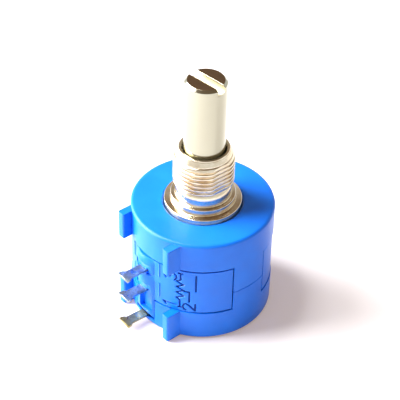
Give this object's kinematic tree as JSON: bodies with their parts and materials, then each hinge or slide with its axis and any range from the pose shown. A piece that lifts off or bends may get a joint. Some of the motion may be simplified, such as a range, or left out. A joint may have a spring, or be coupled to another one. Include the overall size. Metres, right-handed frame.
{
  "type": "multi-turn potentiometer",
  "caption": "Round multi-turn wirewound potentiometer with a slotted shaft, a threaded panel bushing with a key flat, and a column of solder lugs.",
  "frame": {"origin": "centre of the rear face, on the shaft axis", "axes": "+Z along the shaft towards its slotted end, -Y towards the solder lugs, +X towards the key flat of the bushing"},
  "size_m": [0.0222, 0.0262, 0.0412],
  "materials": {
    "blue_plastic": "moulded, satin gloss",
    "nickel_plate": "turned and nickel plated",
    "shaft_metal": "ground",
    "tinned_lug": "stamped and tinned",
    "resistance_wire": "fine wire wound on a core",
    "contact_alloy": "rolled",
    "spring_steel": "stamped",
    "black_plastic": "moulded",
    "white_plastic": "moulded"
  },
  "bodies": {
    "case": {"front_cover": "blue_plastic", "coil_housing": "blue_plastic", "rear_cover": "blue_plastic", "bushing": "nickel_plate", "front_lug": "tinned_lug", "middle_lug": "tinned_lug", "rear_lug": "tinned_lug", "resistance_coil": "resistance_wire", "front_end_strap": "contact_alloy", "rear_end_strap": "contact_alloy", "wiper_strap": "contact_alloy"},
    "rotor": {"shaft": "shaft_metal", "retaining_ring": "spring_steel", "thrust_washer": "spring_steel", "rotor_hub": "black_plastic", "guide_rails": "black_plastic", "rotor_front_plate": "black_plastic", "collector_rod": "contact_alloy", "slip_ring": "contact_alloy"},
    "carriage": {"wiper_carriage": "white_plastic", "wiper_contact": "contact_alloy", "rod_brush": "contact_alloy"}
  },
  "joints": [
    {"name": "shaft_turn", "type": "hinge", "parent": "case", "child": "rotor", "pos_m": [0, 0, 0.03], "axis": [0, 0, 1], "range_deg": [-1800, 1800]},
    {"name": "wiper_travel", "type": "slide", "parent": "rotor", "child": "carriage", "axis": [0, 0, 1], "range_m": [-0.00502, 0.00502]}
  ],
  "couplings": [
    {"joint": "wiper_travel", "follows": "shaft_turn", "m_per_rad": 0.00015915}
  ]
}
